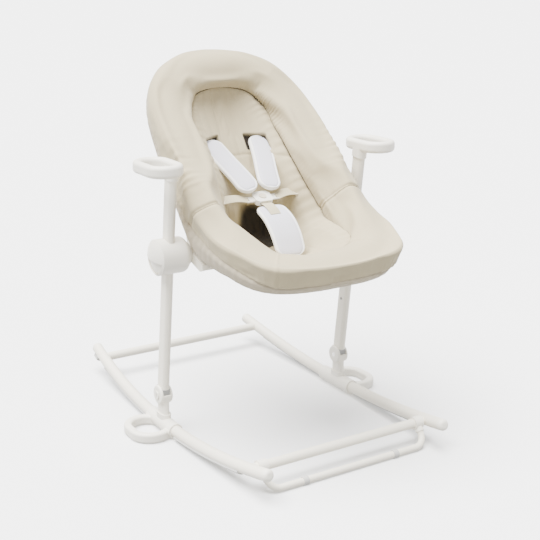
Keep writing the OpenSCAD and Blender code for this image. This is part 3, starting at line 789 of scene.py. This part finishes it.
def path_points(route, count):
    """Points at even distances on a smooth line through a route, and the distances."""
    route = np.array(route, float)
    ends = np.vstack([2 * route[0] - route[1], route, 2 * route[-1] - route[-2]])
    u = np.linspace(1, len(route), 600)
    whole = np.minimum(np.floor(u).astype(int), len(route) - 1)
    t = (u - whole)[:, None]
    a, b, c, d = (ends[whole + k] for k in (-1, 0, 1, 2))
    dense = b + 0.5 * t * (c - a + t * (2 * a - 5 * b + 4 * c - d + t * (3 * b - a - 3 * c + d)))
    length = np.concatenate([[0], np.cumsum(np.linalg.norm(np.diff(dense, axis=0), axis=1))])
    even = np.linspace(0, length[-1], count)
    return np.column_stack([np.interp(even, length, dense[:, k]) for k in range(3)]), even


def path_frame(points, across):
    """Along, across and face directions at points of a strip whose width lies along across."""
    along = unit(np.gradient(points, axis=0))
    across = np.broadcast_to(np.array(across, float), points.shape)
    across = unit(across - along * np.sum(across * along, axis=1, keepdims=True))
    return along, across, np.cross(along, across)


# Edit steps that close both ends of a tube with a face and turn all its faces outwards
END_FACES = (("select_all", {"action": "DESELECT"}), ("select_non_manifold", {}),
             ("edge_face_add", {}), ("select_all", {"action": "SELECT"}),
             ("normals_make_consistent", {"inside": False}))


def quilted_pad(name, route, across, half_width, thickness, end_radius, waist=0.0):
    """A long pad with round ends: crowned both sides, with a stitched line near its edge.

    end_radius is the length of its rounded ends, and waist how much slimmer it is half way.
    """
    rows, sides = 96, 72
    points, even = path_points(route, rows)
    run = even[-1]
    even = run * (0.5 - 0.5 * np.cos(np.linspace(0, math.pi, rows)))
    points = np.column_stack([np.interp(even, np.linspace(0, run, rows), points[:, k])
                              for k in range(3)])
    along, across, face = path_frame(points, across)
    to_end = np.minimum(even, run - even)
    inside = np.clip(1 - to_end / end_radius, 0, 1)
    narrow = np.sqrt(np.clip(1 - inside ** 2.3, 0, 1))
    width = half_width * (narrow * (1 - waist * np.sin(np.pi * even / run)) * 0.985 + 0.015)
    turn = np.linspace(0, 2 * math.pi, sides, endpoint=False)
    side = np.sign(np.cos(turn)) * np.abs(np.cos(turn)) ** 0.75
    lift = np.sign(np.sin(turn)) * np.abs(np.sin(turn)) ** 0.62
    plump = (0.5 + 0.5 * narrow)[:, None] * lift[None, :] * thickness / 2
    from_edge = np.minimum(width[:, None] * (1 - np.abs(side))[None, :],
                           to_end[:, None] + 0.001)
    groove = 0.0013 * from_middle(from_edge, 0.006, 0.0013)
    bound = 1 - ramp(from_edge, 0.0045, 0.0060)
    plump -= np.sign(lift)[None, :] * (groove - 0.0007 * bound)
    grid = (points[:, None] + across[:, None] * (width[:, None] * side[None, :])[..., None]
            + face[:, None] * plump[..., None])
    pad = grid_mesh(name, grid, (even, np.arange(sides + 1) * 2.2 * half_width / sides * 2),
                    (False, True))
    edited(pad, *END_FACES)
    binding = pad.data.attributes.new("binding", "FLOAT", "POINT")
    binding.data.foreach_set("value", bound.astype(np.float32).ravel())
    pad.data.materials.append(quilted)
    return pad


SHOULDER = [(0.024, -0.031, 0.508), (0.033, 0.000, 0.533), (0.047, 0.038, 0.562),
            (0.058, 0.072, 0.587), (0.063, 0.091, 0.599)]
for side, hand in ((-1, "left"), (1, "right")):
    route = [(side * x, y, z) for x, y, z in SHOULDER]
    pad = quilted_pad("shoulder_pad_" + hand, route, (1.0, -0.10 * side, -0.12 * side),
                      half_width=0.0265, thickness=0.013, end_radius=0.025, waist=0.04)
    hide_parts("shoulder_pads")
    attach(pad, "back")

CROTCH = [(0.002, -0.046, 0.474), (0.003, -0.066, 0.471), (0.004, -0.096, 0.456),
          (0.004, -0.121, 0.432), (0.003, -0.139, 0.405), (0.002, -0.148, 0.388)]
crotch_pad = quilted_pad("crotch_pad_arched", CROTCH, (1, 0, 0),
                         half_width=0.034, thickness=0.012, end_radius=0.022, waist=-0.06)
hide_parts("crotch_pad")
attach(crotch_pad, "seat")


# ---- Harness webbing ----
# Flat polyester webbing about 25 mm wide: one length from the crotch pad up to the buckle, and
# one from each side of the seat to the buckle's tongue.

webbing_cloth = woven("webbing_cloth", (0.55, 0.49, 0.34, 1), (0.44, 0.385, 0.26, 1), 0.0016, 0.6,
                      0.7, 0.1)


def strap(name, route, across, width, thickness=0.0016):
    """Flat webbing along a route: a thin band with rounded edges."""
    points, even = path_points(route, 48)
    along, across, face = path_frame(points, across)
    turn = np.linspace(0, 2 * math.pi, 20, endpoint=False) + 0.1
    side = np.sign(np.cos(turn)) * np.abs(np.cos(turn)) ** 0.35 * width / 2
    lift = np.sign(np.sin(turn)) * np.abs(np.sin(turn)) ** 0.8 * thickness / 2
    grid = (points[:, None] + across[:, None] * side[None, :, None]
            + face[:, None] * lift[None, :, None])
    band = grid_mesh(name, grid, (even, np.linspace(0, 2 * width, 21)), (False, True))
    edited(band, *END_FACES)
    band.data.materials.append(webbing_cloth)
    return band


crotch_strap = strap("crotch_webbing", [(0, -0.046, 0.484), (0, -0.060, 0.482),
                                        (0, -0.076, 0.476), (0, -0.088, 0.468)],
                     (1, 0, 0), 0.025)
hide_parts("crotch_strap")
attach(crotch_strap, "seat")
for side, hand in ((-1, "left"), (1, "right")):
    belt = strap("waist_webbing_" + hand,
                 [(side * 0.034, -0.031, 0.492), (side * 0.060, -0.026, 0.496),
                  (side * 0.085, -0.018, 0.4935), (side * 0.102, -0.009, 0.488),
                  (side * 0.114, -0.002, 0.482)],
                 (0, 0.9, 0.42), 0.024)
    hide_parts("waist_straps")
    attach(belt, "seat")
